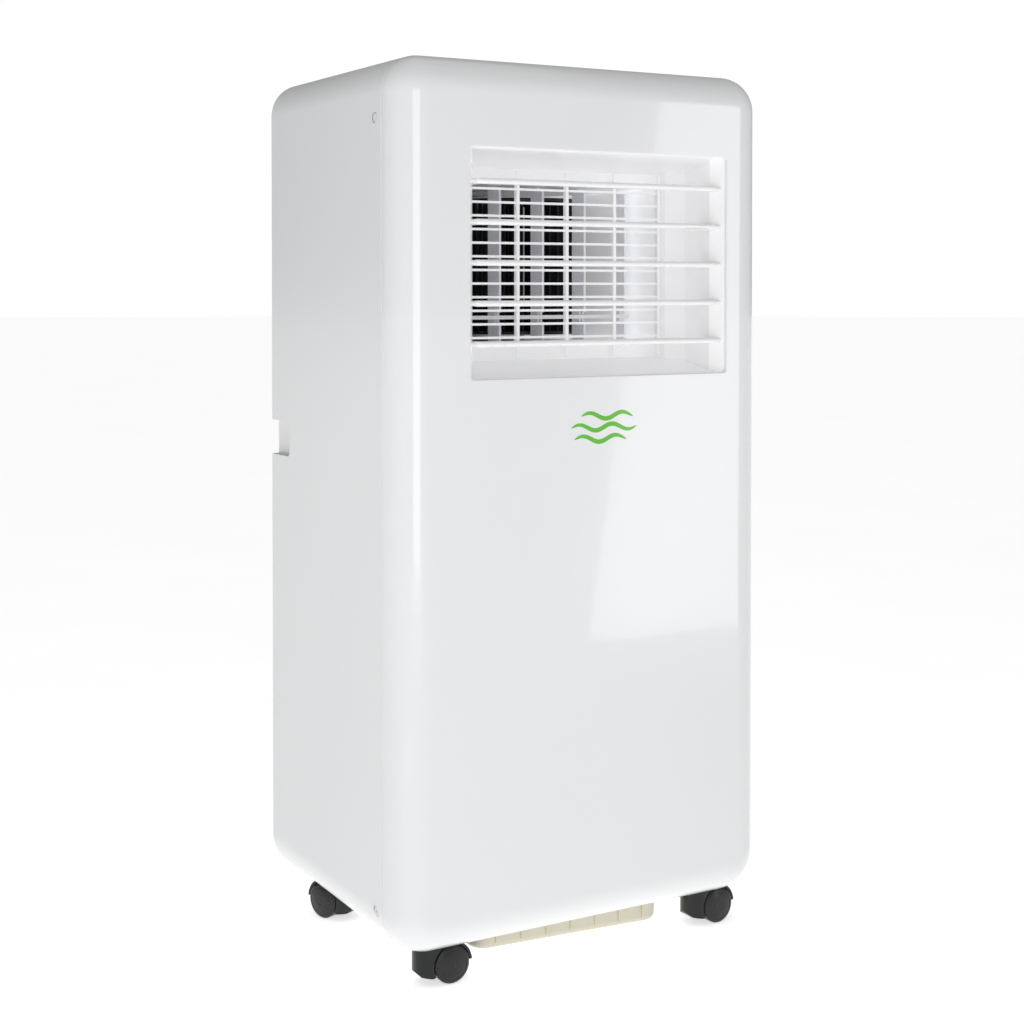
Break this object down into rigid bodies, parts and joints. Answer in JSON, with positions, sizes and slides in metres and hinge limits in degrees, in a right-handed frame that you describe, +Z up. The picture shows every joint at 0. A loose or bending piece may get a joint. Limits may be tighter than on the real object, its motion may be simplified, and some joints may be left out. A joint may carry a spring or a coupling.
{
  "type": "portable air conditioner",
  "caption": "Upright cabinet that cools a room: louvred outlet in front, control panel on top, intakes and exhaust hose port behind, on swivelling casters.",
  "frame": {"origin": "on the floor, under the middle of the cabinet's outline", "axes": "+X to the right seen from the front, the front faces -Y, +Z up"},
  "size_m": [0.324, 0.28, 0.68],
  "materials": {
    "front_white": "high-gloss white ABS",
    "casing_white": "satin white ABS",
    "trim_white": "fine-grained white ABS",
    "vane_white": "white acetal",
    "duct_white": "white expanded polystyrene and ABS",
    "fan_black": "black glass-filled plastic",
    "shaft_steel": "turned steel",
    "motor_steel": "zinc-plated pressed steel",
    "fin_aluminium": "aluminium fins",
    "compressor_black": "black enamelled steel",
    "copper": "bare copper tube",
    "board_green": "green circuit board",
    "panel_grey": "light grey panel film",
    "window_dark": "smoked clear plastic",
    "button_white": "white keycap",
    "tray_beige": "unpigmented beige plastic",
    "rubber_black": "black rubber",
    "caster_black": "black nylon",
    "screw_white": "white coated steel screws"
  },
  "bodies": {
    "cabinet": {"front_shell": "front_white", "side_casing": "casing_white", "rear_cover": "casing_white", "grip_left": "casing_white", "grip_right": "casing_white", "base_pan": "tray_beige", "outlet_frame": "trim_white", "outlet_grid": "trim_white", "upper_scroll": "duct_white", "upper_scroll_lid": "duct_white", "fan_motor": "motor_steel", "lower_scroll": "duct_white", "lower_inlet_plate": "duct_white", "mid_deck": "duct_white", "evaporator": "fin_aluminium", "condenser": "fin_aluminium", "compressor": "compressor_black", "discharge_pipe": "copper", "suction_pipe": "copper", "capillary": "copper", "control_box": "motor_steel", "power_board": "board_green", "control_panel": "panel_grey", "display_window": "window_dark", "control_board": "board_green", "exhaust_collar": "casing_white", "cable_gland": "rubber_black", "screws": "screw_white"},
    "louvre_1": {"louvre_1": "trim_white"},
    "louvre_2": {"louvre_2": "trim_white"},
    "louvre_3": {"louvre_3": "trim_white"},
    "louvre_4": {"louvre_4": "trim_white"},
    "louvre_5": {"louvre_5": "trim_white"},
    "louvre_link": {"louvre_link": "vane_white"},
    "vane_1": {"vane_1": "vane_white"},
    "vane_2": {"vane_2": "vane_white"},
    "vane_3": {"vane_3": "vane_white"},
    "vane_4": {"vane_4": "vane_white"},
    "vane_5": {"vane_5": "vane_white"},
    "vane_link": {"vane_link": "vane_white"},
    "fan_rotor": {"fan_shaft": "shaft_steel", "upper_wheel": "fan_black", "lower_wheel": "fan_black"},
    "button_power": {"button_power": "button_white"},
    "button_mode": {"button_mode": "button_white"},
    "button_speed": {"button_speed": "button_white"},
    "button_timer": {"button_timer": "button_white"},
    "button_down": {"button_down": "button_white"},
    "button_up": {"button_up": "button_white"},
    "upper_intake": {"upper_intake_grille": "trim_white"},
    "lower_intake": {"lower_intake_grille": "trim_white"},
    "drain_plug": {"drain_plug": "rubber_black"},
    "caster_fl": {"caster_fl": "caster_black"},
    "wheels_fl": {"wheels_fl": "caster_black"},
    "caster_fr": {"caster_fr": "caster_black"},
    "wheels_fr": {"wheels_fr": "caster_black"},
    "caster_rl": {"caster_rl": "caster_black"},
    "wheels_rl": {"wheels_rl": "caster_black"},
    "caster_rr": {"caster_rr": "caster_black"},
    "wheels_rr": {"wheels_rr": "caster_black"}
  },
  "joints": [
    {"name": "louvre_1_tilt", "type": "hinge", "parent": "cabinet", "child": "louvre_1", "pos_m": [0, -0.134, 0.5902], "axis": [1, 0, 0], "range_deg": [-40, 40]},
    {"name": "louvre_2_tilt", "type": "hinge", "parent": "cabinet", "child": "louvre_2", "pos_m": [0, -0.134, 0.5606], "axis": [1, 0, 0], "range_deg": [-40, 40]},
    {"name": "louvre_3_tilt", "type": "hinge", "parent": "cabinet", "child": "louvre_3", "pos_m": [0, -0.134, 0.531], "axis": [1, 0, 0], "range_deg": [-40, 40]},
    {"name": "louvre_4_tilt", "type": "hinge", "parent": "cabinet", "child": "louvre_4", "pos_m": [0, -0.134, 0.5014], "axis": [1, 0, 0], "range_deg": [-40, 40]},
    {"name": "louvre_5_tilt", "type": "hinge", "parent": "cabinet", "child": "louvre_5", "pos_m": [0, -0.134, 0.4718], "axis": [1, 0, 0], "range_deg": [-40, 40]},
    {"name": "louvre_link_pin", "type": "hinge", "parent": "louvre_3", "child": "louvre_link", "pos_m": [-0.0935, -0.118, 0.531], "axis": [1, 0, 0], "range_deg": [-40, 40]},
    {"name": "vane_1_swing", "type": "hinge", "parent": "cabinet", "child": "vane_1", "pos_m": [-0.0684, -0.041, 0.5305], "axis": [0, 0, 1], "range_deg": [-35, 35]},
    {"name": "vane_2_swing", "type": "hinge", "parent": "cabinet", "child": "vane_2", "pos_m": [-0.0292, -0.041, 0.5305], "axis": [0, 0, 1], "range_deg": [-35, 35]},
    {"name": "vane_3_swing", "type": "hinge", "parent": "cabinet", "child": "vane_3", "pos_m": [0.01, -0.041, 0.5305], "axis": [0, 0, 1], "range_deg": [-35, 35]},
    {"name": "vane_4_swing", "type": "hinge", "parent": "cabinet", "child": "vane_4", "pos_m": [0.0492, -0.041, 0.5305], "axis": [0, 0, 1], "range_deg": [-35, 35]},
    {"name": "vane_5_swing", "type": "hinge", "parent": "cabinet", "child": "vane_5", "pos_m": [0.0884, -0.041, 0.5305], "axis": [0, 0, 1], "range_deg": [-35, 35]},
    {"name": "vane_link_pin", "type": "hinge", "parent": "vane_3", "child": "vane_link", "pos_m": [0.01, -0.047, 0.4895], "axis": [0, 0, 1], "range_deg": [-35, 35]},
    {"name": "fan_spin", "type": "hinge", "parent": "cabinet", "child": "fan_rotor", "pos_m": [0.038, 0.036, 0.4], "axis": [0, 0, 1], "continuous": true},
    {"name": "press_power", "type": "slide", "parent": "cabinet", "child": "button_power", "axis": [0, 0, 1], "range_m": [-0.0008, 0], "stiffness_N_per_m": 800},
    {"name": "press_mode", "type": "slide", "parent": "cabinet", "child": "button_mode", "axis": [0, 0, 1], "range_m": [-0.0008, 0], "stiffness_N_per_m": 800},
    {"name": "press_speed", "type": "slide", "parent": "cabinet", "child": "button_speed", "axis": [0, 0, 1], "range_m": [-0.0008, 0], "stiffness_N_per_m": 800},
    {"name": "press_timer", "type": "slide", "parent": "cabinet", "child": "button_timer", "axis": [0, 0, 1], "range_m": [-0.0008, 0], "stiffness_N_per_m": 800},
    {"name": "press_down", "type": "slide", "parent": "cabinet", "child": "button_down", "axis": [0, 0, 1], "range_m": [-0.0008, 0], "stiffness_N_per_m": 800},
    {"name": "press_up", "type": "slide", "parent": "cabinet", "child": "button_up", "axis": [0, 0, 1], "range_m": [-0.0008, 0], "stiffness_N_per_m": 800},
    {"name": "upper_intake_pull", "type": "slide", "parent": "cabinet", "child": "upper_intake", "axis": [0, 1, 0], "range_m": [0, 0.04]},
    {"name": "lower_intake_pull", "type": "slide", "parent": "cabinet", "child": "lower_intake", "axis": [0, 1, 0], "range_m": [0, 0.04]},
    {"name": "drain_plug_pull", "type": "slide", "parent": "cabinet", "child": "drain_plug", "axis": [0, 1, 0], "range_m": [0, 0.02]},
    {"name": "caster_fl_swivel", "type": "hinge", "parent": "cabinet", "child": "caster_fl", "pos_m": [-0.1185, -0.1, 0.03], "axis": [0, 0, 1], "continuous": true},
    {"name": "caster_fl_roll", "type": "hinge", "parent": "caster_fl", "child": "wheels_fl", "pos_m": [-0.1045, -0.1, 0.0142], "axis": [0, 1, 0], "continuous": true},
    {"name": "caster_fr_swivel", "type": "hinge", "parent": "cabinet", "child": "caster_fr", "pos_m": [0.1235, -0.1, 0.03], "axis": [0, 0, 1], "continuous": true},
    {"name": "caster_fr_roll", "type": "hinge", "parent": "caster_fr", "child": "wheels_fr", "pos_m": [0.13745, -0.09878, 0.0142], "axis": [-0.0872, 0.9962, 0], "continuous": true},
    {"name": "caster_rl_swivel", "type": "hinge", "parent": "cabinet", "child": "caster_rl", "pos_m": [-0.1185, 0.048, 0.03], "axis": [0, 0, 1], "continuous": true},
    {"name": "caster_rl_roll", "type": "hinge", "parent": "caster_rl", "child": "wheels_rl", "pos_m": [-0.12374, 0.06098, 0.0142], "axis": [-0.9272, -0.3746, 0], "continuous": true},
    {"name": "caster_rr_swivel", "type": "hinge", "parent": "cabinet", "child": "caster_rr", "pos_m": [0.1235, 0.048, 0.03], "axis": [0, 0, 1], "continuous": true},
    {"name": "caster_rr_roll", "type": "hinge", "parent": "caster_rr", "child": "wheels_rr", "pos_m": [0.13423, 0.057, 0.0142], "axis": [-0.6428, 0.766, 0], "continuous": true}
  ],
  "couplings": [
    {"joint": "louvre_1_tilt", "follows": "louvre_3_tilt", "ratio": 1},
    {"joint": "louvre_2_tilt", "follows": "louvre_3_tilt", "ratio": 1},
    {"joint": "louvre_4_tilt", "follows": "louvre_3_tilt", "ratio": 1},
    {"joint": "louvre_5_tilt", "follows": "louvre_3_tilt", "ratio": 1},
    {"joint": "louvre_link_pin", "follows": "louvre_3_tilt", "ratio": -1},
    {"joint": "vane_1_swing", "follows": "vane_3_swing", "ratio": 1},
    {"joint": "vane_2_swing", "follows": "vane_3_swing", "ratio": 1},
    {"joint": "vane_4_swing", "follows": "vane_3_swing", "ratio": 1},
    {"joint": "vane_5_swing", "follows": "vane_3_swing", "ratio": 1},
    {"joint": "vane_link_pin", "follows": "vane_3_swing", "ratio": -1}
  ]
}
